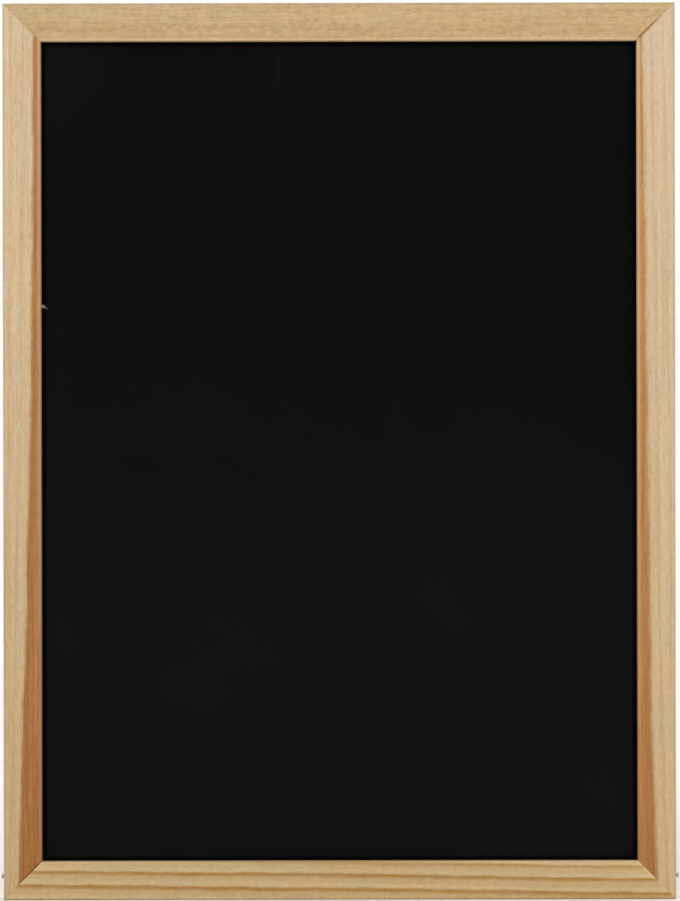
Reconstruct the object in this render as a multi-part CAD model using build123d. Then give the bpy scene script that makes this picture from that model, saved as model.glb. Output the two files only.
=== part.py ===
from build123d import *
from math import asin, degrees, sqrt
import os

# Framed chalk writing board, in millimetres. +Z is up, the writing face looks along -Y and +X is to
# the writer's right. The origin is the middle of the bottom edge, half way through the frame's depth.

# Whole board
BOARD_WIDTH = 300.0
BOARD_HEIGHT = 400.0

# Frame moulding: one grooved stick, cut to two lengths
MOULDING_WIDTH = 17.0
FRONT_LIP = 3.4
BACK_LIP = 4.0
GROOVE_DEPTH = 5.0
FRONT_EASE = 0.8
BACK_EASE = 0.5
GLUE_LINE = 0.04

# Panel: black facing bonded to hardboard, loose in the groove
HARDBOARD_THICKNESS = 3.0
FACING_THICKNESS = 0.4
PANEL_PLAY = 0.2
PANEL_EDGE_GAP = 1.0

# Corner nails, driven level through each stile into the end of the rail
NAIL_LENGTH = 25.0
NAIL_SHANK_DIAMETER = 1.4
NAIL_HEAD_DIAMETER = 2.3
NAIL_HEAD_THICKNESS = 0.7
NAIL_POINT_LENGTH = 2.4
NAIL_HOLE_CLEARANCE = 0.03
NAIL_TO_GROOVE = 1.3
LOWER_NAIL_STANDOFF = 1.5
UPPER_NAIL_PUNCH = 0.3

# Hangers on the back of the stiles
HANGER_DROP = 80.0
STRAP_WIDTH = 9.0
STRAP_SHEET = 0.8
STRAP_LEG_GAP = 0.15
STRAP_BEND = 1.0
RING_WIRE = 1.8
RING_BEND = 1.8
RING_SIDE = 1.2
RING_SIDE_PLAY = 0.4
RING_BUTT_GAP = 0.3
RING_REST_GAP = 0.2
EYE_CLEARANCE = 0.1

# Hanger screws
SCREW_LENGTH = 8.0
SCREW_SHANK_DIAMETER = 2.4
SCREW_HEAD_DIAMETER = 4.8
SCREW_HEAD_HEIGHT = 1.6
SCREW_POINT_LENGTH = 2.2
SCREW_HOLE_CLEARANCE = 0.2
SCREW_BITE_CLEARANCE = 0.03
SCREW_TO_RING = 1.0
CROSS_SPAN = 2.6
CROSS_WIDTH = 0.7
CROSS_DEPTH = 0.9

# Frame sizes that follow
groove_width = FACING_THICKNESS + HARDBOARD_THICKNESS + PANEL_PLAY
frame_depth = FRONT_LIP + groove_width + BACK_LIP
front = -frame_depth / 2
back = frame_depth / 2
groove_front = front + FRONT_LIP
groove_back = groove_front + groove_width
groove_floor = MOULDING_WIDTH - GROOVE_DEPTH
mitre_shift = GLUE_LINE / 2 * sqrt(2)
nail_inset = groove_floor - NAIL_TO_GROOVE - NAIL_SHANK_DIAMETER / 2

# Hanger sizes that follow, measured from the stile's back face and from the ring's axis
eye_radius = RING_WIRE / 2 + EYE_CLEARANCE
eye_height = STRAP_SHEET + eye_radius
leg_top = 2 * STRAP_SHEET + STRAP_LEG_GAP
ring_half_bar = STRAP_WIDTH / 2 + RING_SIDE_PLAY
ring_half_width = ring_half_bar + RING_BEND
ring_shoulder = RING_BEND + RING_SIDE
ring_reach = ring_shoulder + ring_half_width
screw_drop = ring_reach + RING_WIRE / 2 + SCREW_TO_RING + SCREW_HEAD_DIAMETER / 2
hanger_x = BOARD_WIDTH / 2 - MOULDING_WIDTH / 2
hanger_z = BOARD_HEIGHT - HANGER_DROP

# The ring hangs down and leans on the edges of the strap's upper leg
lean_across = STRAP_WIDTH / 2 + RING_WIRE / 2
lean_reach = ring_shoulder + sqrt(ring_half_width**2 - lean_across**2)
lean_height = leg_top + RING_WIRE / 2 + RING_REST_GAP
ring_lean = degrees(asin((lean_height - eye_height) / lean_reach))


def grooved_stick(length):
    """Stick along X with its outer edge on z = 0, its groove facing up and both ends mitred."""
    outline = make_face(
        Polyline(
            (front, 0),
            (back, 0),
            (back, MOULDING_WIDTH),
            (groove_back, MOULDING_WIDTH),
            (groove_back, groove_floor),
            (groove_front, groove_floor),
            (groove_front, MOULDING_WIDTH),
            (front, MOULDING_WIDTH),
            close=True,
        )
    )
    outline = fillet(outline.vertices().group_by(Axis.X)[0], FRONT_EASE)
    outline = fillet(outline.vertices().group_by(Axis.X)[-1], BACK_EASE)
    bar = extrude(Plane.YZ * outline, amount=length / 2, both=True)
    half = length / 2 - mitre_shift
    mitre = make_face(
        Polyline(
            (-half, 0),
            (half, 0),
            (half - MOULDING_WIDTH, MOULDING_WIDTH),
            (-half + MOULDING_WIDTH, MOULDING_WIDTH),
            close=True,
        )
    )
    return bar & extrude(Plane.XZ * mitre, amount=frame_depth, both=True)


def turned(points):
    """Solid of revolution about Z from a closed half outline of (radius, height) points."""
    return revolve(Plane.XZ * make_face(Polyline(*points, close=True)), Axis.Z)


def nail():
    """Round nail with the top of its head on z = 0 and its point up the Z axis."""
    shank = NAIL_SHANK_DIAMETER / 2
    head = NAIL_HEAD_DIAMETER / 2
    return turned(
        [
            (0, 0),
            (head, 0),
            (head, NAIL_HEAD_THICKNESS),
            (shank, NAIL_HEAD_THICKNESS),
            (shank, NAIL_LENGTH - NAIL_POINT_LENGTH),
            (0, NAIL_LENGTH),
        ]
    )


def nail_hole():
    """Room for a nail and, over its head, for the punch that sank it."""
    shank = NAIL_SHANK_DIAMETER / 2 + NAIL_HOLE_CLEARANCE
    head = NAIL_HEAD_DIAMETER / 2 + NAIL_HOLE_CLEARANCE
    tip = NAIL_LENGTH + NAIL_HOLE_CLEARANCE
    return turned(
        [
            (0, -2 * UPPER_NAIL_PUNCH),
            (head, -2 * UPPER_NAIL_PUNCH),
            (head, NAIL_HEAD_THICKNESS),
            (shank, NAIL_HEAD_THICKNESS),
            (shank, tip - NAIL_POINT_LENGTH),
            (0, tip),
        ]
    )


def nail_places():
    """Where the four nails go: the top of each head, pointing in towards the board."""
    places = []
    for side in (-1, 1):
        for height, standoff in (
            (nail_inset, LOWER_NAIL_STANDOFF),
            (BOARD_HEIGHT - nail_inset, -UPPER_NAIL_PUNCH),
        ):
            place = Pos(side * (BOARD_WIDTH / 2 + standoff), 0, height)
            places.append(place * Rot(0, -side * 90, 0))
    return places


def hanger_place(side):
    """On the stile's back face, at the height of the ring's axis, with +Y away from the frame."""
    return Pos(side * hanger_x, back, hanger_z)


def strap():
    """One strip folded round the ring's bar, with both legs down the stile under one screw."""
    mid_radius = eye_radius + STRAP_SHEET / 2
    foot = -screw_drop - STRAP_WIDTH / 2
    lower_leg = Line((STRAP_SHEET / 2, foot), (STRAP_SHEET / 2, 0))
    fold = CenterArc((eye_height, 0), mid_radius, 180, -225)
    fold_end = fold @ 1
    leg_level = leg_top - STRAP_SHEET / 2
    knee = (leg_level, fold_end.Y - (fold_end.X - leg_level))
    upper_leg = FilletPolyline((fold_end.X, fold_end.Y), knee, (leg_level, foot), radius=STRAP_BEND)
    section = trace([lower_leg, fold, upper_leg], line_width=STRAP_SHEET)
    strip = extrude(Plane.YZ * section, amount=STRAP_WIDTH / 2, both=True)
    straight = screw_drop + eye_height + mid_radius
    plan = Pos(0, -screw_drop) * Circle(STRAP_WIDTH / 2)
    plan += Pos(0, straight / 2 - screw_drop) * Rectangle(STRAP_WIDTH, straight)
    strip = strip & extrude(Plane.XZ * plan, amount=2 * eye_height + mid_radius, both=True)
    hole = Cylinder(SCREW_SHANK_DIAMETER / 2 + SCREW_HOLE_CLEARANCE, 3 * leg_top)
    return strip - Pos(0, 0, -screw_drop) * Rot(90, 0, 0) * hole


def ring():
    """D-ring bent from wire, its ends butted in the middle of the bar, leaning on the strap."""
    low = -ring_shoulder
    side_x = ring_half_width
    path = Wire(
        [
            Line((RING_BUTT_GAP / 2, 0), (ring_half_bar, 0)),
            CenterArc((ring_half_bar, -RING_BEND), RING_BEND, 90, -90),
            Line((side_x, -RING_BEND), (side_x, low)),
            CenterArc((0, low), ring_half_width, 0, -180),
            Line((-side_x, low), (-side_x, -RING_BEND)),
            CenterArc((-ring_half_bar, -RING_BEND), RING_BEND, 180, -90),
            Line((-ring_half_bar, 0), (-RING_BUTT_GAP / 2, 0)),
        ]
    )
    start = Plane(origin=(RING_BUTT_GAP / 2, 0, 0), z_dir=(1, 0, 0))
    wire = sweep(start * Circle(RING_WIRE / 2), path=path)
    return Pos(0, eye_height, 0) * Rot(ring_lean, 0, 0) * Rot(90, 0, 0) * wire


def screw():
    """Round-head wood screw, under its head on z = 0 and its point down the Z axis."""
    shank = SCREW_SHANK_DIAMETER / 2
    head = SCREW_HEAD_DIAMETER / 2
    dome = (head**2 + SCREW_HEAD_HEIGHT**2) / (2 * SCREW_HEAD_HEIGHT)
    cap = Pos(0, 0, SCREW_HEAD_HEIGHT - dome) * Sphere(dome)
    cap = cap & Pos(0, 0, SCREW_HEAD_HEIGHT) * Cylinder(2 * head, 2 * SCREW_HEAD_HEIGHT)
    stem = turned(
        [
            (0, 0),
            (shank, 0),
            (shank, SCREW_POINT_LENGTH - SCREW_LENGTH),
            (0, -SCREW_LENGTH),
        ]
    )
    body = cap + stem
    for turn in (0, 90):
        slot = Rot(0, 0, turn) * Box(CROSS_SPAN, CROSS_WIDTH, 2 * CROSS_DEPTH)
        body -= Pos(0, 0, SCREW_HEAD_HEIGHT) * slot
    return body


def screw_hole():
    """What the screw's thread cuts out of the stile."""
    shank = SCREW_SHANK_DIAMETER / 2 + SCREW_BITE_CLEARANCE
    tip = -SCREW_LENGTH - SCREW_BITE_CLEARANCE
    return turned([(0, 0), (shank, 0), (shank, tip + SCREW_POINT_LENGTH), (0, tip)])


def screw_place(side):
    """Under the screw's head, on the strap's upper leg."""
    return hanger_place(side) * Pos(0, leg_top, -screw_drop) * Rot(-90, 0, 0)


def sheet(front_y, thickness):
    """Flat sheet that fills the grooves, standing on the bottom rail's groove floor."""
    width = BOARD_WIDTH - 2 * groove_floor - 2 * PANEL_EDGE_GAP
    height = BOARD_HEIGHT - 2 * groove_floor - PANEL_EDGE_GAP
    return Pos(0, front_y + thickness / 2, groove_floor + height / 2) * Box(width, thickness, height)


nails = [place * nail() for place in nail_places()]
nail_holes = [place * nail_hole() for place in nail_places()]
sides = {"left": -1, "right": 1}

pieces = {
    "bottom_rail": grooved_stick(BOARD_WIDTH),
    "top_rail": Pos(0, 0, BOARD_HEIGHT) * Rot(0, 180, 0) * grooved_stick(BOARD_WIDTH),
}
for name, side in sides.items():
    stile = Pos(side * BOARD_WIDTH / 2, 0, BOARD_HEIGHT / 2) * Rot(0, -side * 90, 0)
    stile = stile * grooved_stick(BOARD_HEIGHT)
    pieces[f"{name}_stile"] = stile - screw_place(side) * screw_hole()
for name in pieces:
    for hole in nail_holes:
        pieces[name] = pieces[name] - hole
pieces["writing_face"] = sheet(groove_front, FACING_THICKNESS)
pieces["backing_board"] = sheet(groove_front + FACING_THICKNESS, HARDBOARD_THICKNESS)
for name, side in sides.items():
    pieces[f"{name}_hanger_strap"] = hanger_place(side) * strap()
    pieces[f"{name}_hanger_ring"] = hanger_place(side) * ring()
pieces["corner_nails"] = Compound(nails)
pieces["hanger_screws"] = Compound([screw_place(side) * screw() for side in sides.values()])

os.makedirs("parts", exist_ok=True)
for name, piece in pieces.items():
    export_step(piece, f"parts/{name}.step")
    box = piece.bounding_box()
    print(f"{name}: {len(piece.solids())} solid, {box.size.X:.2f} x {box.size.Y:.2f} x {box.size.Z:.2f} mm")

print(f"frame depth {frame_depth:.2f}, nails {nail_inset:.2f} from the bottom and top edges")
print(f"ring axis at x {hanger_x:.2f}, y {back + eye_height:.2f}, z {hanger_z:.2f}, lean {ring_lean:.2f}")
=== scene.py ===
# %% [markdown]
# # A slate writing board
# The board is a black chalk panel held in a mitred pine frame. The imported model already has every
# stick, sheet, nail, screw and hanger at its real size, so this lesson does not reshape them. It
# sets up the photograph's view, lights it, and gives each piece the finish of the real one.

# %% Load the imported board
import math

import bmesh
import bpy
from mathutils import Matrix, Vector
from mathutils.geometry import interpolate_bezier


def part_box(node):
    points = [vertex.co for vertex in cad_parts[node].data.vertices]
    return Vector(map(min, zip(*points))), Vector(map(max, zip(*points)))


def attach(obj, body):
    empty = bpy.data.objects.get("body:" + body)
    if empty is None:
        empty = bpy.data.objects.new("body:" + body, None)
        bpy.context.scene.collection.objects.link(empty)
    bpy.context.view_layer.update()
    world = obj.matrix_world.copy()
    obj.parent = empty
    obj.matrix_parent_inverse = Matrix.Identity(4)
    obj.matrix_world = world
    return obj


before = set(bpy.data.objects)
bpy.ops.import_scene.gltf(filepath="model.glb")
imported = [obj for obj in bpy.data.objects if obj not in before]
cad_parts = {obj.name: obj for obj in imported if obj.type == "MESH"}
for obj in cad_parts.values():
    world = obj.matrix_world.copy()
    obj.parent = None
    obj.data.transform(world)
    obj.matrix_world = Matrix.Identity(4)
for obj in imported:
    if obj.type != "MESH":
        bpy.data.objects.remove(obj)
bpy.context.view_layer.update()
MM = 0.001
print("pieces", sorted(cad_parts))

# %% [markdown]
# ## Measuring the frame
# Grain, mitres and worn edges all need to know where a stick starts and how long it is. The sizes
# are read from the loaded sticks, so that the finishes still fit if the board is rebuilt.

# %% Read the sizes of the sticks
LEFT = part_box("left_stile")[0].x
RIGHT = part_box("right_stile")[1].x
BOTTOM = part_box("bottom_rail")[0].z
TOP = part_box("top_rail")[1].z
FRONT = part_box("bottom_rail")[0].y
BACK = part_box("bottom_rail")[1].y
BOARD_WIDTH = RIGHT - LEFT
BOARD_HEIGHT = TOP - BOTTOM
STICK_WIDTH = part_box("bottom_rail")[1].z - BOTTOM
STICK_DEPTH = BACK - FRONT
MIDDLE = Vector(((LEFT + RIGHT) / 2, 0, (BOTTOM + TOP) / 2))
print(f"board {BOARD_WIDTH / MM:.1f} x {BOARD_HEIGHT / MM:.1f} mm")
print(f"sticks {STICK_WIDTH / MM:.1f} mm wide and {STICK_DEPTH / MM:.1f} mm deep")

# %% [markdown]
# ## The camera
# The photograph was taken square on, with no lines running together, from well back. A long lens at
# 1.4 m gives the same flat view. The lens follows from how many pixels one millimetre of the
# frame's front takes up. The board stands a fraction of a degree out of true in the picture, and a
# hair off its middle, so the camera is rolled and moved by that much.

# %% Set the camera
PIXELS_PER_MM = 2.242
PICTURE_HEIGHT = 901
SENSOR_WIDTH = 36.0
CAMERA_DISTANCE = 1.4
OFF_MIDDLE = Vector((0.33 * MM, FRONT - CAMERA_DISTANCE, 0.25 * MM))
ROLL = math.radians(0.106)
lens = bpy.data.cameras.new("square_on_camera")
lens.sensor_width = SENSOR_WIDTH
lens.lens = PIXELS_PER_MM / MM * CAMERA_DISTANCE * SENSOR_WIDTH / PICTURE_HEIGHT
camera = bpy.data.objects.new("square_on_camera", lens)
bpy.context.scene.collection.objects.link(camera)
turn = Matrix.Rotation(math.pi / 2, 4, "X") @ Matrix.Rotation(-ROLL, 4, "Z")
camera.matrix_world = Matrix.Translation(MIDDLE + OFF_MIDDLE) @ turn
bpy.context.scene.camera = camera
bpy.context.scene.view_settings.view_transform = "Standard"
print(f"lens {lens.lens:.1f} mm at {CAMERA_DISTANCE} m")

# %% [markdown]
# ## Building with nodes
# Every finish below is a node tree. One helper fills a node's sockets, either with a plain value or
# with a wire from another node, one adds a node, and a few more cover the sums that come up all the
# time. This keeps each finish readable as a recipe.

# %% Helpers for node trees
def fill(tree, node, sockets):
    """Fill a node's sockets with values or wires."""
    for socket, value in sockets.items():
        if isinstance(value, bpy.types.NodeSocket):
            tree.links.new(value, node.inputs[socket])
        else:
            node.inputs[socket].default_value = value
    return node


def add(tree, kind, sockets=None, **options):
    """Add a node, set its options, then fill its sockets."""
    node = tree.nodes.new(kind)
    for option, value in options.items():
        setattr(node, option, value)
    return fill(tree, node, sockets or {})


def sum_of(tree, operation, *values):
    """A Math node's result."""
    return add(tree, "ShaderNodeMath", dict(enumerate(values)), operation=operation).outputs[0]


def weighed(tree, start, *shares):
    """A start value with a share of each (value, weight) added to it."""
    total = start
    for value, weight in shares:
        total = sum_of(tree, "MULTIPLY_ADD", value, weight, total)
    return total


def fade(tree, value, start, end, low=0.0, high=1.0):
    """Ease from low to high while the value goes from start to end."""
    sockets = {"Value": value, "From Min": start, "From Max": end, "To Min": low, "To Max": high}
    return add(tree, "ShaderNodeMapRange", sockets, interpolation_type="SMOOTHSTEP").outputs[0]


def tint(tree, amount, under, over, way="MIX"):
    """Lay one colour over another."""
    mix = add(tree, "ShaderNodeMix", {0: amount, 6: under, 7: over}, data_type="RGBA", blend_type=way)
    return mix.outputs[2]


print("helpers ready")

# %% [markdown]
# ## Colours
# Paint and wood colours are easiest to judge as the 0 to 255 values a picture editor shows. Blender
# works in linear light, so each colour is converted once, here.

# %% Picture colours to linear light
def colour(red, green, blue):
    """Linear RGBA from picture values."""
    light = []
    for part in (red, green, blue):
        part = part / 255
        light.append(part / 12.92 if part <= 0.04045 else ((part + 0.055) / 1.055) ** 2.4)
    return (*light, 1.0)


print("sapwood in linear light", [round(part, 3) for part in colour(208, 182, 146)])

# %% [markdown]
# ## Light and floor
# The studio is plain: an even white surround, one broad soft lamp from the upper left, a weaker one
# from the right and one behind for the hangers. Together they light a surface to about the colour
# it is given. What the camera, a mirror-like metal or a see-through piece sees behind the board is
# white, while the surround lights the board a little less than that, so the lamps can shape it.

# %% Surround
SURROUND = 0.66
world = bpy.data.worlds.new("white_studio")
world.use_nodes = True
bpy.context.scene.world = world
sky = world.node_tree
sky.nodes.clear()
ray = add(sky, "ShaderNodeLightPath").outputs
seen = sum_of(sky, "MAXIMUM", ray["Is Camera Ray"], ray["Is Glossy Ray"])
seen = sum_of(sky, "MAXIMUM", seen, ray["Is Transmission Ray"])
strength = add(sky, "ShaderNodeMapRange", {"Value": seen, "To Min": SURROUND, "To Max": 1.0})
white = add(sky, "ShaderNodeBackground", {"Color": (1, 1, 1, 1), "Strength": strength.outputs[0]})
add(sky, "ShaderNodeOutputWorld", {"Surface": white.outputs[0]})
print("surround", SURROUND)

# %% Lamps
LAMP_SIZE = 1.8
LAMP_PLACES_AND_WATTS = {
    "key_lamp": ((-1.7, -2.3, 2.5), 34.0),
    "fill_lamp": ((2.2, -2.4, 2.1), 19.0),
    "back_lamp": ((0.8, 2.4, 2.5), 28.0),
}
for name, (where, watts) in LAMP_PLACES_AND_WATTS.items():
    lamp = bpy.data.lights.new(name, "AREA")
    lamp.size = LAMP_SIZE
    lamp.energy = watts
    holder = bpy.data.objects.new(name, lamp)
    bpy.context.scene.collection.objects.link(holder)
    facing = (MIDDLE - Vector(where)).to_track_quat("-Z", "Y")
    holder.matrix_world = Matrix.Translation(where) @ facing.to_matrix().to_4x4()
print("lamps", list(LAMP_PLACES_AND_WATTS))

# %% Floor
FLOOR_RADIUS = 1.5
FLOOR_GAP = 0.1 * MM


def start_material(name):
    """A new material with its node tree and its shader."""
    material = bpy.data.materials.new(name)
    material.use_nodes = True
    return material, material.node_tree, material.node_tree.nodes["Principled BSDF"]


floor_mesh = bpy.data.meshes.new("pale_floor")
ground = bmesh.new()
bmesh.ops.create_circle(ground, cap_ends=True, segments=96, radius=FLOOR_RADIUS)
ground.to_mesh(floor_mesh)
ground.free()
floor = bpy.data.objects.new("pale_floor", floor_mesh)
floor.location.z = BOTTOM - FLOOR_GAP
bpy.context.scene.collection.objects.link(floor)
pale, tree, shader = start_material("pale_floor")
fill(tree, shader, {"Base Color": (0.95, 0.95, 0.95, 1), "Roughness": 0.9, "Specular IOR Level": 0.1})
floor_mesh.materials.append(pale)
print("floor at", round(floor.location.z / MM, 2), "mm")

# %% [markdown]
# ## Shared effects as node groups
# Four sticks share one wood, and the steel pieces share their wear. Each shared effect is a node
# group: a small machine with named sockets that can be set differently in every material.

# %% Start a node group
def start_group(name, takes, gives, vectors=()):
    """An empty group with its named inputs, some of them vectors, and its outputs, to wire between."""
    group = bpy.data.node_groups.new(name, "ShaderNodeTree")
    for direction, labels in (("INPUT", takes), ("OUTPUT", gives)):
        for label in labels:
            kind = "NodeSocketVector" if label in vectors else "NodeSocketFloat"
            group.interface.new_socket(label, in_out=direction, socket_type=kind)
    entry = add(group, "NodeGroupInput").outputs
    return group, entry, add(group, "NodeGroupOutput").inputs


print("groups can be started")

# %% [markdown]
# ### Where a point lies in a stick
# Grain runs along a stick whichever way the stick lies in the frame. This group turns a place on the
# board into three distances in millimetres: along the stick, across its face from the outer edge,
# and deep from the front. With those, one recipe for wood serves rails and stiles.

# %% Stick distances
PLACING = ("Corner", "Along Way", "Across Way")
DISTANCES = ("Along", "Across", "Deep")
BACKWARD = (0, 1, 0)


def vector_sum(tree, operation, *values):
    """A Vector Math node's outputs."""
    return add(tree, "ShaderNodeVectorMath", dict(enumerate(values)), operation=operation).outputs


stick_place, entry, result = start_group("stick_place", PLACING, DISTANCES, vectors=PLACING)
here = add(stick_place, "ShaderNodeTexCoord").outputs["Object"]
from_corner = vector_sum(stick_place, "SUBTRACT", here, entry["Corner"])["Vector"]
for label, way in zip(DISTANCES, (entry["Along Way"], entry["Across Way"], BACKWARD)):
    run = vector_sum(stick_place, "DOT_PRODUCT", from_corner, way)["Value"]
    stick_place.links.new(sum_of(stick_place, "MULTIPLY", run, 1 / MM), result[label])
print(stick_place.name, len(stick_place.nodes), "nodes")

# %% [markdown]
# ### Streaks
# Nearly every mark in wood is longer than it is wide. Noise becomes such a mark when its point is
# squeezed along the stick, so the helpers below divide the distances by a streak's length and
# breadth. A stick's log number moves the noise, so sticks with other numbers show other streaks.

# %% Streak helpers
STICK_SPOT = (*DISTANCES, "Log")
PLAIN_DETAIL = 2.0


def noise(tree, vector, detail=PLAIN_DETAIL, **more):
    """Noise of 0 to 1 with one bump to each unit of the vector."""
    sockets = {"Vector": vector, "Scale": 1.0, "Detail": detail, **more}
    return add(tree, "ShaderNodeTexNoise", sockets).outputs[0]


def drawn_out(tree, spots, length, breadth):
    """The point in a stick, measured in streak lengths and breadths."""
    deep = sum_of(tree, "DIVIDE", spots["Deep"], breadth)
    return add(tree, "ShaderNodeCombineXYZ", {
        "X": sum_of(tree, "DIVIDE", spots["Along"], length),
        "Y": sum_of(tree, "DIVIDE", spots["Across"], breadth),
        "Z": sum_of(tree, "ADD", deep, spots["Log"]),
    }).outputs[0]


def streaks_of(tree, spots, length, breadth, detail=PLAIN_DETAIL):
    """Noise of about -1 to 1 in streaks of a length and breadth in millimetres."""
    grain = noise(tree, drawn_out(tree, spots, length, breadth), detail)
    sockets = {"Value": grain, "From Min": 0.25, "From Max": 0.75, "To Min": -1.0}
    return add(tree, "ShaderNodeMapRange", sockets).outputs[0]


def streak_mix(tree, spots, *layers):
    """Streaks added up. A layer has a length, a breadth, a share and, where not plain, a detail."""
    return weighed(tree, 0.0, *[
        (streaks_of(tree, spots, length, breadth, *detail), share)
        for length, breadth, share, *detail in layers
    ])


print("a spot in a stick has", STICK_SPOT)

# %% [markdown]
# ### Growth rings
# Pine lays down a pale soft band in spring and a brown hard line in late summer. In the log these
# are tubes round the pith, so the group measures how far a point is from a pith line and counts
# rings along that distance. Because it works in depth too, lines on the face carry on round the
# edges and onto the back, as they do in real wood. Lean and bow let the grain drift along a stick.

# %% Ring group
growth_rings, entry, result = start_group(
    "growth_rings",
    (
        *STICK_SPOT, "Pith Across", "Pith Deep", "Line Across", "Lean", "Bow", "Bow Centre", "Bow Reach",
        "Ring Width", "Wander", "First Year", "Uneven",
    ),
    ("Latewood", "Season", "Beyond Line"),
)
tree = growth_rings
drift = streak_mix(
    tree, entry, (75.0, 12.0, 0.8), (14.0, 5.0, 0.55), (4.0, 2.5, 0.22), (22.0, 0.3, 0.45),
)
drift = sum_of(tree, "MULTIPLY", drift, entry["Wander"])
from_bow = sum_of(tree, "SUBTRACT", entry["Along"], entry["Bow Centre"])
from_bow = sum_of(tree, "DIVIDE", from_bow, entry["Bow Reach"])
from_bow = sum_of(tree, "MULTIPLY", from_bow, from_bow)
bow = sum_of(tree, "POWER", math.e, sum_of(tree, "MULTIPLY", from_bow, -1.0))
line = weighed(tree, entry["Line Across"], (entry["Along"], entry["Lean"]), (bow, entry["Bow"]))


def pith_distance(across, deep):
    """Distance from the pith of a point that is measured from the line on the face."""
    side = sum_of(tree, "SUBTRACT", across, entry["Pith Across"])
    far = sum_of(tree, "SUBTRACT", deep, entry["Pith Deep"])
    squares = sum_of(tree, "MULTIPLY_ADD", side, side, sum_of(tree, "MULTIPLY", far, far))
    return sum_of(tree, "SQRT", squares)


from_pith = pith_distance(sum_of(tree, "SUBTRACT", entry["Across"], line), entry["Deep"])
beyond = sum_of(tree, "SUBTRACT", sum_of(tree, "ADD", from_pith, drift), pith_distance(0.0, 0.0))
tree.links.new(beyond, result["Beyond Line"])
print("rings are counted from the line on the face")

# %% [markdown]
# Within a year the wood turns golden first and brown at the end, where the line stops short. No two
# years are alike, so white noise on the ring's number weakens some of the lines.

# %% Seasons of a ring
GOLDEN_SEASON = (0.1, 0.4)
GOLDEN_SHARE = 0.27
BROWN_SEASON = (0.5, 0.8)
BROWN_SHARE = 0.71
LINE_STOPS = (1.0, 0.82)
years = sum_of(tree, "DIVIDE", beyond, entry["Ring Width"])
season = sum_of(tree, "FRACT", years)
golden = fade(tree, season, *GOLDEN_SEASON, 0.0, GOLDEN_SHARE)
brown = fade(tree, season, *BROWN_SEASON, 0.0, BROWN_SHARE)
late = sum_of(tree, "MULTIPLY", sum_of(tree, "ADD", golden, brown), fade(tree, season, *LINE_STOPS))
year = sum_of(tree, "ADD", sum_of(tree, "FLOOR", years), entry["First Year"])
chance = add(tree, "ShaderNodeTexWhiteNoise", {"W": year}, noise_dimensions="1D").outputs["Value"]
poor_year = sum_of(tree, "MULTIPLY", sum_of(tree, "SUBTRACT", 1.0, chance), entry["Uneven"])
late = sum_of(tree, "MULTIPLY", late, sum_of(tree, "SUBTRACT", 1.0, poor_year))
tree.links.new(late, result["Latewood"])
tree.links.new(season, result["Season"])
print(growth_rings.name, len(growth_rings.nodes), "nodes")

# %% [markdown]
# ### Fibres
# Close up, pine is not smooth colour: long fibres run through it as streaks, some of them pale and
# some as fine as hairs, resin canals show as short dark dashes, planing leaves small flecks, and
# the tone drifts in soft patches that are now pinker, now yellower. The dashes are drawn-out cells,
# of which only some are chosen, and all the rest is streaks of one size or another.

# %% Fibre group
CANAL_CELL = (5.5, 0.6)
CANAL_CORE = (0.36, 0.1)
CANALS_LEFT_OUT = 0.6


def cells(tree, vector):
    """Scattered cells, about one to each unit of the vector: how far from a middle, and a chance."""
    scatter = add(tree, "ShaderNodeTexVoronoi", {"Vector": vector, "Scale": 1.0}).outputs
    chance = add(tree, "ShaderNodeSeparateColor", {0: scatter["Color"]}).outputs[0]
    return scatter["Distance"], chance


pine_fibre, entry, result = start_group(
    "pine_fibre", STICK_SPOT, ("Streak", "Hair", "Pale", "Dash", "Fleck", "Patch", "Blush"),
)
tree = pine_fibre
from_canal, chance = cells(tree, drawn_out(tree, entry, *CANAL_CELL))
canal = fade(tree, from_canal, *CANAL_CORE)
marks = {
    "Streak": streak_mix(
        tree, entry, (18.0, 0.8, 0.5, 3.0), (110.0, 1.5, 0.65), (6.0, 0.18, 0.35), (35.0, 0.11, 0.4),
    ),
    "Hair": streaks_of(tree, entry, 3.6, 0.07),
    "Pale": fade(tree, streaks_of(tree, entry, 40.0, 0.7, 1.0), 0.3, 0.75),
    "Dash": sum_of(tree, "MULTIPLY", canal, sum_of(tree, "GREATER_THAN", chance, CANALS_LEFT_OUT)),
    "Fleck": streaks_of(tree, entry, 2.6, 1.6),
    "Patch": streaks_of(tree, entry, 60.0, 5.0),
    "Blush": streak_mix(tree, entry, (30.0, 2.4, 0.8), (9.0, 1.5, 0.5)),
}
for label, value in marks.items():
    tree.links.new(value, result[label])
print(pine_fibre.name, len(pine_fibre.nodes), "nodes")
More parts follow.
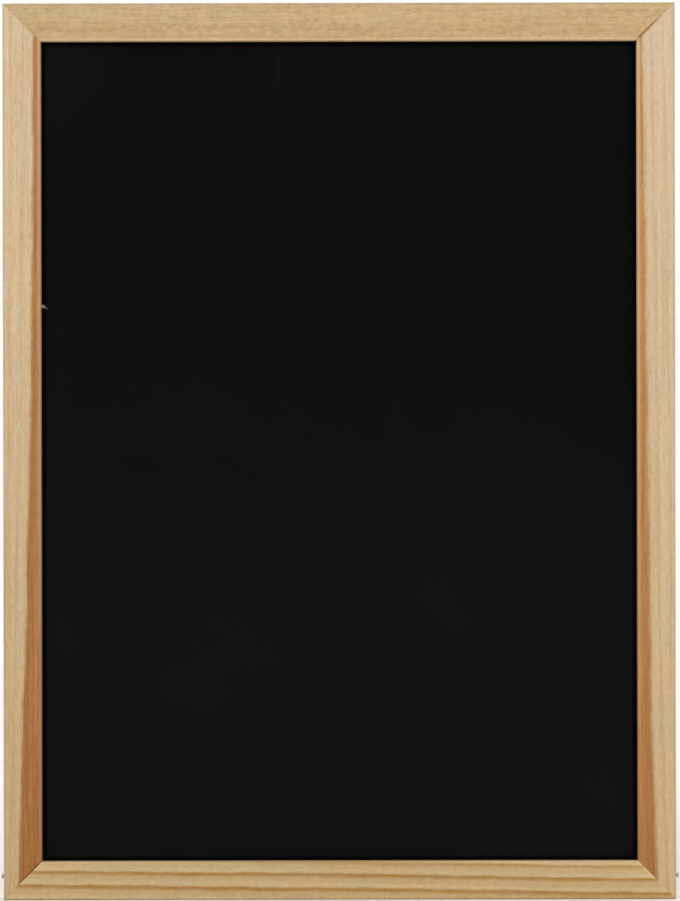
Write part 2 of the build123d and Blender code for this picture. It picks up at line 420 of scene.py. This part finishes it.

# %% [markdown]
# ### Eased edges and mitres
# The inner corners of a frame stick are rubbed down after gluing, which leaves them paler than the
# face, and a painted highlight on them adds the light that their rounded corners catch. The outer
# corners carry a painted shade along them, and handling leaves them a little shinier. At the mitre
# the two sticks meet in a line with painted shade where it opened a little and a painted highlight
# where the edge catches the light. All of it follows from the stick's own distances: how near a
# point is to a long corner, and how near to the 45 degree cut at either end.

# %% Edge group
RUB_REACH = 1.2
RUB_WANDER = 0.14
RUBBED_AND_HIGHLIGHT_BAND = (1.4, 0.75)
HANDLED_AND_SHADED_BAND = (1.05, 0.35)
MITRE_BAND = (1.6, 0.2)
INNER_HALF = (3.0, 11.0)
stick_edges, entry, result = start_group(
    "stick_edges", (*STICK_SPOT, "Length", "Width", "Depth"),
    ("Rubbed And Highlight", "Handled And Shaded", "First Mitre", "Last Mitre"),
)
tree = stick_edges
from_back = sum_of(tree, "SUBTRACT", entry["Depth"], entry["Deep"])
near_face = sum_of(tree, "MINIMUM", entry["Deep"], from_back)
near_face = sum_of(tree, "MULTIPLY", near_face, near_face)
reach = weighed(tree, RUB_REACH, (streaks_of(tree, entry, 22.0, 6.0), RUB_WANDER))
from_inside = sum_of(tree, "SUBTRACT", entry["Width"], entry["Across"])
corners = {"Rubbed And Highlight": (from_inside, RUBBED_AND_HIGHLIGHT_BAND), "Handled And Shaded": (entry["Across"], HANDLED_AND_SHADED_BAND)}
for label, (from_side, band) in corners.items():
    from_corner = sum_of(tree, "SQRT", sum_of(tree, "MULTIPLY_ADD", from_side, from_side, near_face))
    from_corner = sum_of(tree, "DIVIDE", from_corner, reach)
    tree.links.new(fade(tree, from_corner, *band), result[label])
inner_half = fade(tree, entry["Across"], *INNER_HALF)
from_last = sum_of(tree, "SUBTRACT", entry["Length"], entry["Along"])
for label, from_end in (("First Mitre", entry["Along"]), ("Last Mitre", from_last)):
    from_cut = sum_of(tree, "ABSOLUTE", sum_of(tree, "SUBTRACT", from_end, entry["Across"]))
    at_cut = sum_of(tree, "MULTIPLY", fade(tree, from_cut, *MITRE_BAND), inner_half)
    tree.links.new(at_cut, result[label])
print(stick_edges.name, len(stick_edges.nodes), "nodes")

# %% [markdown]
# ## Pine sticks
# Each stick was cut from another part of a log, so each gets its own colours and its own place in
# the rings, and one pair of functions mixes the groups into its finish. The colours are partly the
# wood's own and partly painted light and shade: each stick's grain meets the lamps at another angle,
# and the stiles darken towards the bottom, partly as painted shade. The first function lays the
# colour of the wood: sapwood, with heartwood blending in behind the ring that divides them, and the
# late lines over both. Inside the heart the streaks are stronger, and the rubbed corner, with its
# painted highlight, is paler towards the stick's upper end.

# %% Colour of the wood
LATE_TINT = (0.65, 0.46, 0.2, 1)
LATE_BLUSH = 0.2
HEART_BORDER = (-2.6, 0.0)
HEART_BORDER_LATE = 0.22
HEART_SEASON_LATE = 0.3
HEART_STREAKS = 0.17


def wood_colour(tree, run, rings, fibre, sap, heart, figure):
    """Sapwood and heartwood with late lines, and how strong streaks and the rubbed corners with their
    painted highlight are on them.
    """
    wood = tint(tree, run, colour(*sap[0]), colour(*sap[1]))
    late = weighed(tree, figure["late"], (fibre["Blush"], figure["late"] * LATE_BLUSH))
    late = sum_of(tree, "MULTIPLY", rings["Latewood"], late)
    streaks = figure["streak"]
    rubbed_and_highlight = figure["rubbed_and_highlight"]
    if heart:
        inside = fade(tree, rings["Beyond Line"], figure["blend"], -figure["blend"])
        wood = tint(tree, inside, wood, tint(tree, run, colour(*heart[0]), colour(*heart[1])))
        late_inside = fade(tree, rings["Beyond Line"], *HEART_BORDER, 0.0, HEART_BORDER_LATE)
        late_season = sum_of(tree, "POWER", rings["Season"], 2.0)
        late_inside = weighed(tree, late_inside, (late_season, HEART_SEASON_LATE))
        late = add(tree, "ShaderNodeMix", {0: inside, 2: late, 3: late_inside}).outputs[0]
        streaks = weighed(tree, streaks, (inside, HEART_STREAKS))
        # The rubbed corner's painted highlight grows towards the stick's upper end.
        rubbed_and_highlight = weighed(tree, rubbed_and_highlight, (sum_of(tree, "MULTIPLY", inside, run), figure["rim"]))
    return tint(tree, late, wood, LATE_TINT, "MULTIPLY"), streaks, rubbed_and_highlight


print("late lines multiply the wood by", LATE_TINT[:3])

# %% [markdown]
# Two more helpers serve this finish and all that follow. One turns a height into the dents and
# ridges that catch the light, without moving the surface itself. The other puts a finished material
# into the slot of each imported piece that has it, so the pieces keep their meshes.

# %% Bumps and covered pieces
def bumps(tree, height, distance, strength, **options):
    """The bumped normal of a height, its distance in millimetres."""
    sockets = {"Height": height, "Distance": distance * MM, "Strength": strength}
    return add(tree, "ShaderNodeBump", sockets, **options).outputs[0]


def cover(material, *nodes):
    """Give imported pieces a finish."""
    for node in nodes:
        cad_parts[node].material_slots[0].material = material
    print(material.name, "covers", ", ".join(nodes))


print("pieces to cover", len(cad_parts))

# %% [markdown]
# The second function puts fibres, edges and relief on the wood's colour. Where the wood darkens it
# also browns, so blue follows every streak and fleck more than red does. Late lines stand a little
# proud and shine a little more than the soft wood between them, and the dashes are open pores.

# %% Pine finish
# The pale of the rubbed inner corners: partly real wear, partly painted highlight.
RUBBED_AND_HIGHLIGHT_PALE = colour(234, 199, 156)
LIGHTER_BY = {"Hair": 0.14, "Patch": 0.035, "Dash": -0.13}
# Painted shade along the outer corners of the sticks.
OUTER_EDGE_PAINTED_SHADE = -0.1
RED_GREEN_BLUE_FOLLOW = ((0.85, 0.025), (1.0, 0.0), (1.3, -0.1))
RAISED_BY = {"Streak": 0.3, "Hair": 0.15, "Dash": -0.5, "Fleck": 0.2}
LATE_RAISED_BY = 0.25
PINE_ROUGHNESS = 0.6


def pine(name, log, corner, along, across, length, sap, heart, grain, figure, mitres):
    """Material for one stick of the given log. sap and heart are colours at its start and end."""
    material, tree, shader = start_material(name)
    placing = dict(zip(PLACING, (corner, along, across)))
    spot = add(tree, "ShaderNodeGroup", placing, node_tree=stick_place).outputs
    spots = {label: spot[label] for label in DISTANCES}
    spots["Log"] = log
    sizes = {"Length": length / MM, "Width": STICK_WIDTH / MM, "Depth": STICK_DEPTH / MM}
    rings = add(tree, "ShaderNodeGroup", {**spots, **grain}, node_tree=growth_rings).outputs
    fibre = add(tree, "ShaderNodeGroup", spots, node_tree=pine_fibre).outputs
    edges = add(tree, "ShaderNodeGroup", {**spots, **sizes}, node_tree=stick_edges).outputs

    run = sum_of(tree, "DIVIDE", spots["Along"], length / MM)
    wood, streaks, rubbed_and_highlight = wood_colour(tree, run, rings, fibre, sap, heart, figure)
    light = weighed(
        tree, 0.0, (fibre["Streak"], streaks), (fibre["Pale"], figure["pale"]),
        (fibre["Fleck"], figure["fleck"]), *[(fibre[mark], share) for mark, share in LIGHTER_BY.items()],
        # The outer corners are darkened with painted shade.
        (edges["Handled And Shaded"], OUTER_EDGE_PAINTED_SHADE),
        # At the mitres: painted shade where the joint opened, painted highlight where the edge catches the
        # light.
        (edges["First Mitre"], mitres[0]), (edges["Last Mitre"], mitres[1]),
    )
    shades = [
        weighed(tree, 1.0, (light, share), (fibre["Blush"], warmth))
        for share, warmth in RED_GREEN_BLUE_FOLLOW
    ]
    shade = add(tree, "ShaderNodeCombineColor", dict(enumerate(shades))).outputs[0]
    wood = tint(tree, 1.0, wood, shade, "MULTIPLY")
    # Rubbed inner corners are paled: partly wear, partly a painted highlight for the light they catch.
    wood = tint(tree, sum_of(tree, "MULTIPLY", edges["Rubbed And Highlight"], rubbed_and_highlight), wood, RUBBED_AND_HIGHLIGHT_PALE)

    relief = weighed(
        tree, 0.0, (rings["Latewood"], LATE_RAISED_BY),
        *[(fibre[mark], share) for mark, share in RAISED_BY.items()],
    )
    dull = weighed(
        tree, PINE_ROUGHNESS,
        (rings["Latewood"], -0.08), (fibre["Streak"], 0.05), (edges["Handled And Shaded"], -0.1),
    )
    normal = bumps(tree, relief, distance=0.08, strength=0.4)
    fill(tree, shader, {"Base Color": wood, "Roughness": dull, "Normal": normal, "Specular IOR Level": 0.2})
    return material


print("fibres lighten the wood by", LIGHTER_BY)

# %% [markdown]
# The stiles have a band of red heartwood along the inner edge that widens downwards. Their rings
# are alike, as both were sawn near the same pith, but the band's edge bows in another place on each.

# %% Pine for the stiles
UP, DOWN = (0, 0, 1), (0, 0, -1)
RIGHTWARD, LEFTWARD = (1, 0, 0), (-1, 0, 0)
stile_grain = {
    "Pith Across": 51.0, "Pith Deep": -109.0, "Ring Width": 2.45, "Wander": 0.32, "Uneven": 0.6,
}
stile_figure = {"late": 0.28, "streak": 0.105, "pale": 0.05, "fleck": 0.07, "rubbed_and_highlight": 0.06}
# The stiles' colours darken towards the bottom: partly the wood's tone, partly painted shade.
cover(pine(
    "pine_left_stile", log=23.6,
    corner=(LEFT, FRONT, BOTTOM), along=UP, across=RIGHTWARD, length=BOARD_HEIGHT,
    sap=((201, 171, 128), (214, 189, 154)), heart=((168, 115, 62), (188, 134, 87)),
    grain={
        **stile_grain, "Line Across": 6.8, "Lean": 0.017, "First Year": 9.0,
        "Bow": 1.75, "Bow Centre": 210.0, "Bow Reach": 120.0,
    },
    figure={**stile_figure, "blend": 0.5, "rim": 0.26}, mitres=(-0.55, -0.05),
), "left_stile")
cover(pine(
    "pine_right_stile", log=0.0,
    corner=(RIGHT, FRONT, BOTTOM), along=UP, across=LEFTWARD, length=BOARD_HEIGHT,
    sap=((207, 177, 134), (217, 191, 158)), heart=((171, 116, 62), (203, 156, 104)),
    grain={
        **stile_grain, "Line Across": 8.05, "Lean": 0.0175, "First Year": 15.0,
        "Bow": 1.4, "Bow Centre": 120.0, "Bow Reach": 100.0,
    },
    figure={**stile_figure, "blend": 0.75, "rim": 0.42}, mitres=(0.0, -0.3),
), "right_stile")

# %% [markdown]
# The rails are sapwood only. The bottom one was sawn so that its rings meet the face at a slant and
# show as brown late lines, and the top one lies nearly flat to its rings, so it is almost plain.

# %% Pine for the rails
cover(pine(
    "pine_bottom_rail", log=0.0,
    corner=(LEFT, FRONT, BOTTOM), along=RIGHTWARD, across=UP, length=BOARD_WIDTH,
    sap=((208, 181, 135), (211, 183, 136)), heart=None,
    grain={
        "Pith Across": -31.0, "Pith Deep": 35.0, "Line Across": 13.9, "Lean": -0.0144,
        "Bow": 0.3, "Bow Centre": 150.0, "Bow Reach": 60.0,
        "Ring Width": 3.85, "Wander": 0.3, "First Year": 4.0, "Uneven": 0.33,
    },
    figure={"late": 1.0, "streak": 0.07, "pale": 0.03, "fleck": 0.085, "rubbed_and_highlight": 0.1},
    # Both bottom mitres get a painted highlight along the lit edge.
    mitres=(0.2, 0.25),
), "bottom_rail")
cover(pine(
    "pine_top_rail", log=13.4,
    corner=(LEFT, FRONT, TOP), along=RIGHTWARD, across=DOWN, length=BOARD_WIDTH,
    sap=((197, 168, 126), (201, 170, 125)), heart=None,
    grain={
        "Pith Across": 0.0, "Pith Deep": 120.0, "Line Across": -8.0, "Lean": 0.004,
        "Bow": 0.0, "Bow Centre": 150.0, "Bow Reach": 80.0,
        "Ring Width": 5.0, "Wander": 0.15, "First Year": 30.0, "Uneven": 0.4,
    },
    # The top rail's rubbed corner faces down, so a stronger painted highlight makes up for the shade it
    # gets.
    figure={"late": 0.5, "streak": 0.115, "pale": 0.08, "fleck": 0.14, "rubbed_and_highlight": 0.44},
    mitres=(-0.05, -0.65),
), "top_rail")

# %% [markdown]
# ## The writing face
# The panel carries a matt black chalk lacquer. It is almost free of gloss, holds a trace of wiped
# chalk that a cloth never quite takes off, and has the fine stipple that a roller leaves. A mask for
# each smudge says where the chalk was, and one colour mix turns all the chalk into a lighter black.
# Close to the frame a narrow rim is painted jet black, as painted shade under the frame's lip.

# %% Wiped chalk
# A smudge has its middle and its reach, across and up in millimetres, and its strength.
SMUDGES = ((-27, 370, 2.2, 11, 0.55), (-133, 383, 46, 60, 0.5), (-140, 200, 30, 190, 0.2))
DUST_FROM = BOTTOM + 0.7 * BOARD_HEIGHT
DUST_FULL = BOTTOM + 0.25 * BOARD_HEIGHT
DUST = 0.48
WIPED = 0.15
WIPE_TURN = (0, 0.5, 0)
WIPE_SIZES = (110, 1000, 38)
WIPE_EDGE = (0.4, 0.75)
CLOUD_SIZES = (70, 70, 70)
CLOUD_EDGE = (0.35, 0.7)
NO_TURN = (0, 0, 0)


def drawn(tree, spot, turn, sizes):
    """The point seen in a turned frame, each way divided by its size in millimetres."""
    sockets = {"Vector": spot, "Rotation": turn, "Scale": [size * MM for size in sizes]}
    return add(tree, "ShaderNodeMapping", sockets, vector_type="TEXTURE").outputs[0]


def smudge(x, z, width, height):
    """A soft patch of wiped chalk, its middle and reach in millimetres."""
    off = vector_sum(tree, "SUBTRACT", spot, (x * MM, 0, BOTTOM + z * MM))["Vector"]
    off = vector_sum(tree, "MULTIPLY", off, (1 / width / MM, 0, 1 / height / MM))["Vector"]
    return fade(tree, vector_sum(tree, "LENGTH", off)["Value"], 1.0, 0.0)


lacquer, tree, shader = start_material("black_chalk_lacquer")
spot = add(tree, "ShaderNodeTexCoord").outputs["Object"]
sides = add(tree, "ShaderNodeSeparateXYZ", {0: spot}).outputs
wipes = noise(tree, drawn(tree, spot, WIPE_TURN, WIPE_SIZES), 5.0, Roughness=0.6)
cloud = noise(tree, drawn(tree, spot, NO_TURN, CLOUD_SIZES), 3.0)
chalk = weighed(
    tree, fade(tree, sides["Z"], DUST_FROM, DUST_FULL, 0.0, DUST),
    (fade(tree, wipes, *WIPE_EDGE), WIPED), (fade(tree, cloud, *CLOUD_EDGE), WIPED),
    *[(smudge(*patch), share) for *patch, share in SMUDGES],
)
print("smudges", len(SMUDGES))

# %% Chalk lacquer
CLEAN_BLACK = (0.0025, 0.0026, 0.0026, 1)
CHALKED_BLACK = (0.0060, 0.0069, 0.0069, 1)
# Painted shade: the black of the rim along the frame.
RIM_PAINTED_SHADE_BLACK = (0.0002, 0.0002, 0.0002, 1)
RIM_PAINTED_SHADE_REACH = (2.6 * MM, 0.9 * MM)
STIPPLE_SIZES = (0.7, 0.7, 0.7)
LACQUER_ROUGHNESS = 0.7
black = tint(tree, chalk, CLEAN_BLACK, CHALKED_BLACK)
from_upright = sum_of(tree, "ABSOLUTE", sum_of(tree, "SUBTRACT", sides["X"], MIDDLE.x))
from_level = sum_of(tree, "ABSOLUTE", sum_of(tree, "SUBTRACT", sides["Z"], MIDDLE.z))
from_stiles = sum_of(tree, "SUBTRACT", BOARD_WIDTH / 2 - STICK_WIDTH, from_upright)
from_rails = sum_of(tree, "SUBTRACT", BOARD_HEIGHT / 2 - STICK_WIDTH, from_level)
# A narrow rim next to the frame is painted jet black as shade under the lip.
rim_painted_shade = fade(tree, sum_of(tree, "MINIMUM", from_stiles, from_rails), *RIM_PAINTED_SHADE_REACH)
black = tint(tree, rim_painted_shade, black, RIM_PAINTED_SHADE_BLACK)
stipple = noise(tree, drawn(tree, spot, NO_TURN, STIPPLE_SIZES))
fill(tree, shader, {
    "Base Color": black, "Roughness": weighed(tree, LACQUER_ROUGHNESS, (chalk, 0.1)),
    "Normal": bumps(tree, stipple, distance=0.03, strength=0.25), "Specular IOR Level": 0.03,
})
cover(lacquer, "writing_face")

# %% [markdown]
# ## The hardboard back
# Hardboard is pressed from wood pulp on a wire screen, so its back is a mass of short brown fibres
# with the screen's fine grid pressed into it. The grid is two sine waves multiplied, which a Bump
# node turns into relief, the pulp is noise in two sizes, and a scatter of drawn-out cells leaves
# single dark fibres in it.

# %% Pressed pulp
SCREEN_PITCH = 1.5
FLUFF_TURN = (0, 0.3, 0)
FLUFF_SIZES = (0.9, 0.9, 0.6)
CLUMP_SIZES = (22, 22, 22)
DARK_PULP = colour(96, 68, 45)
LIGHT_PULP = colour(152, 115, 80)
hardboard, tree, shader = start_material("pressed_hardboard")
spot = add(tree, "ShaderNodeTexCoord").outputs["Object"]
sides = add(tree, "ShaderNodeSeparateXYZ", {0: spot}).outputs
waves = []
for side in ("X", "Z"):
    angle = sum_of(tree, "MULTIPLY", sides[side], 2 * math.pi / SCREEN_PITCH / MM)
    waves.append(sum_of(tree, "SINE", angle))
screen = sum_of(tree, "MULTIPLY", *waves)
fluff = noise(tree, drawn(tree, spot, FLUFF_TURN, FLUFF_SIZES), 4.0, Roughness=0.7)
clumps = noise(tree, drawn(tree, spot, NO_TURN, CLUMP_SIZES), 3.0)
pulp = weighed(
    tree, 0.15, (fade(tree, fluff, 0.25, 0.75), 0.5), (fade(tree, clumps, 0.3, 0.7), 0.14), (screen, 0.16),
)
brown = tint(tree, pulp, DARK_PULP, LIGHT_PULP)
print("screen pitch", SCREEN_PITCH, "mm")

# %% Single fibres and finish
FIBRE_COLOUR = colour(70, 48, 31)
FIBRE_CELL = (5.5, 1.5, 1.1)
FIBRE_CORE = (0.24, 0.1)
FIBRE_TURNS = (0.4, 1.4, 2.5)
FIBRES_LEFT_OUT = 0.82
FIBRE_STRENGTH = 0.4
HARDBOARD_ROUGHNESS = 0.82
for fibre_turn in FIBRE_TURNS:
    from_fibre, chance = cells(tree, drawn(tree, spot, (0, fibre_turn, 0), FIBRE_CELL))
    chosen = sum_of(tree, "GREATER_THAN", chance, FIBRES_LEFT_OUT)
    fibre = sum_of(tree, "MULTIPLY", fade(tree, from_fibre, *FIBRE_CORE), chosen)
    brown = tint(tree, sum_of(tree, "MULTIPLY", fibre, FIBRE_STRENGTH), brown, FIBRE_COLOUR)
relief = weighed(tree, screen, (fluff, 0.8))
fill(tree, shader, {
    "Base Color": brown, "Roughness": weighed(tree, HARDBOARD_ROUGHNESS, (fluff, 0.12)),
    "Normal": bumps(tree, relief, distance=0.12, strength=0.6), "Specular IOR Level": 0.2,
})
cover(hardboard, "backing_board")

# %% [markdown]
# ## Nails and hangers
# The nails are bare drawn steel, dull and grey. The straps, rings and screws are zinc plated: paler,
# with soft clouds from the plating bath. Both get fine scratches from handling, so that is one
# group. A scratch is the thin line where stretched noise crosses its middle value, kept only in the
# places where a second noise says the metal was rubbed.

# %% Handling group
STROKE_TURNS = (0.4, 1.9)
STROKE_SIZES = (6.0, 0.8, 0.8)
STROKE_MIDDLE = 0.5
SCRATCH_LINE = (0.014, 0.0)
RUBBED_SIZES = (3.5, 3.5, 3.5)
RUBBED_EDGE = (0.48, 0.66)
BATH_EDGE = (0.3, 0.7)
metal_handling, entry, result = start_group("metal_handling", ("Cloud Size",), ("Scratch", "Cloud"))
tree = metal_handling
spot = add(tree, "ShaderNodeTexCoord").outputs["Object"]
lines = []
for stroke_turn in STROKE_TURNS:
    tilt = (stroke_turn, stroke_turn / 2, stroke_turn)
    strokes = noise(tree, drawn(tree, spot, tilt, STROKE_SIZES))
    from_line = sum_of(tree, "ABSOLUTE", sum_of(tree, "SUBTRACT", strokes, STROKE_MIDDLE))
    lines.append(fade(tree, from_line, *SCRATCH_LINE))
rubbed_and_highlight = fade(tree, noise(tree, drawn(tree, spot, NO_TURN, RUBBED_SIZES)), *RUBBED_EDGE)
scratch = sum_of(tree, "MULTIPLY", sum_of(tree, "MAXIMUM", *lines), rubbed_and_highlight)
tree.links.new(scratch, result["Scratch"])
clouds_per_metre = sum_of(tree, "DIVIDE", 1 / MM, entry["Cloud Size"])
bath = add(tree, "ShaderNodeTexNoise", {"Vector": spot, "Scale": clouds_per_metre, "Detail": 3.0})
tree.links.new(fade(tree, bath.outputs[0], *BATH_EDGE), result["Cloud"])
print(metal_handling.name, len(metal_handling.nodes), "nodes")

# %% Steel and zinc
SCRATCH_STRENGTH = 0.5


def metal(name, dark, light, scratched, roughness, cloud_size):
    """A metal finish between two tones, with scratches of a third and clouds of a size in millimetres."""
    material, tree, shader = start_material(name)
    wear = add(tree, "ShaderNodeGroup", {"Cloud Size": cloud_size}, node_tree=metal_handling).outputs
    face = tint(tree, wear["Cloud"], colour(*dark), colour(*light))
    scratch = sum_of(tree, "MULTIPLY", wear["Scratch"], SCRATCH_STRENGTH)
    face = tint(tree, scratch, face, colour(*scratched))
    dull = weighed(tree, roughness, (wear["Cloud"], 0.12), (wear["Scratch"], -0.08))
    normal = bumps(tree, wear["Scratch"], distance=0.02, strength=0.2, invert=True)
    fill(tree, shader, {"Base Color": face, "Roughness": dull, "Normal": normal, "Metallic": 1.0})
    return material


nail_steel = metal(
    "drawn_nail_steel", dark=(158, 154, 146), light=(196, 194, 190), scratched=(214, 212, 208),
    roughness=0.4, cloud_size=1.6,
)
zinc = metal(
    "zinc_plating", dark=(190, 193, 197), light=(212, 212, 207), scratched=(228, 228, 226),
    roughness=0.26, cloud_size=3.2,
)
cover(nail_steel, "corner_nails")
cover(zinc, "left_hanger_strap", "right_hanger_strap", "hanger_screws")
cover(zinc, "left_hanger_ring", "right_hanger_ring")

# %% [markdown]
# ## The raised splinter
# A splinter has lifted off the left stile's inner corner and curls over the black face. It is a thin
# tapered blade, so it is built as one: a curve gives its spine, and at each step along the spine a
# flat six-sided ring sets its width and thickness. Joining ring to ring makes the blade.

# %% Splinter
INNER_EDGE = LEFT + STICK_WIDTH
ROOT = Vector((INNER_EDGE, FRONT, BOTTOM + 264.6 * MM))
SPINE_FROM_ROOT = ((-0.5, 1.1, 0.0), (1.4, -0.1, 0.6), (2.3, 0.9, -0.4), (3.4, 2.8, -1.7))
STEPS = 14
SIDES = 6
TIP_HALF_WIDTH, ROOT_HALF_WIDTH = 0.1 * MM, 1.05 * MM
TIP_HALF_THICKNESS, ROOT_HALF_THICKNESS = 0.05 * MM, 0.14 * MM
TAPER_CURVE = 1.1
SLANT = 0.25
spine = [ROOT + Vector(offset) * MM for offset in SPINE_FROM_ROOT]
blade = bmesh.new()
rings = []
for step, spine_point in enumerate(interpolate_bezier(*spine, STEPS)):
    taper = 1 - step / (STEPS - 1)
    half_width = TIP_HALF_WIDTH + (ROOT_HALF_WIDTH - TIP_HALF_WIDTH) * taper ** TAPER_CURVE
    half_thickness = TIP_HALF_THICKNESS + (ROOT_HALF_THICKNESS - TIP_HALF_THICKNESS) * taper
    ring = []
    for side in range(SIDES):
        angle = side * 2 * math.pi / SIDES
        sideways = half_width * math.cos(angle)
        offset = Vector((SLANT * sideways, half_thickness * math.sin(angle), sideways))
        ring.append(blade.verts.new(spine_point + offset))
    rings.append(ring)
for lower, upper in zip(rings, rings[1:]):
    for side in range(SIDES):
        following = (side + 1) % SIDES
        blade.faces.new((lower[side], lower[following], upper[following], upper[side]))
blade.faces.new(reversed(rings[0]))
blade.faces.new(rings[-1])
bmesh.ops.recalc_face_normals(blade, faces=blade.faces)
splinter_mesh = bpy.data.meshes.new("raised_splinter")
blade.to_mesh(splinter_mesh)
blade.free()
splinter_mesh.shade_smooth()
splinter = bpy.data.objects.new("raised_splinter", splinter_mesh)
bpy.context.scene.collection.objects.link(splinter)
print("splinter", len(splinter_mesh.polygons), "faces")

# %% [markdown]
# The torn fibres are grey with dust. At the root the splinter still has the colour of the heartwood
# that it lifted from, and towards its tip it is painted darker as shade.

# %% Splinter finish
TORN_TURN = (0, 0.3, 0)
TORN_SIZES = (2.0, 0.25, 0.25)
DARK_DUST = colour(84, 81, 76)
LIGHT_DUST = colour(128, 125, 118)
# Painted shade at the splinter's tip.
TIP_PAINTED_SHADE = colour(46, 45, 43)
TIP_SHADE_REACH = (1.4 * MM, 2.6 * MM)
ROOT_COLOUR = colour(158, 112, 68)
ROOT_REACH = (0.9 * MM, -0.2 * MM)
TORN_ROUGHNESS = 0.7
torn, tree, shader = start_material("torn_fibre")
spot = add(tree, "ShaderNodeTexCoord").outputs["Object"]
hair = noise(tree, drawn(tree, spot, TORN_TURN, TORN_SIZES))
grey = tint(tree, fade(tree, hair, 0.3, 0.7), DARK_DUST, LIGHT_DUST)
across_board = add(tree, "ShaderNodeSeparateXYZ", {0: spot}).outputs["X"]
from_root = sum_of(tree, "SUBTRACT", across_board, INNER_EDGE)
# Painted shade darkens the splinter towards its tip.
grey = tint(tree, fade(tree, from_root, *TIP_SHADE_REACH), grey, TIP_PAINTED_SHADE)
grey = tint(tree, fade(tree, from_root, *ROOT_REACH), grey, ROOT_COLOUR)
fill(tree, shader, {"Base Color": grey, "Roughness": weighed(tree, TORN_ROUGHNESS, (hair, 0.2))})
splinter_mesh.materials.append(torn)
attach(splinter, "board")
print("splinter rides on the board")
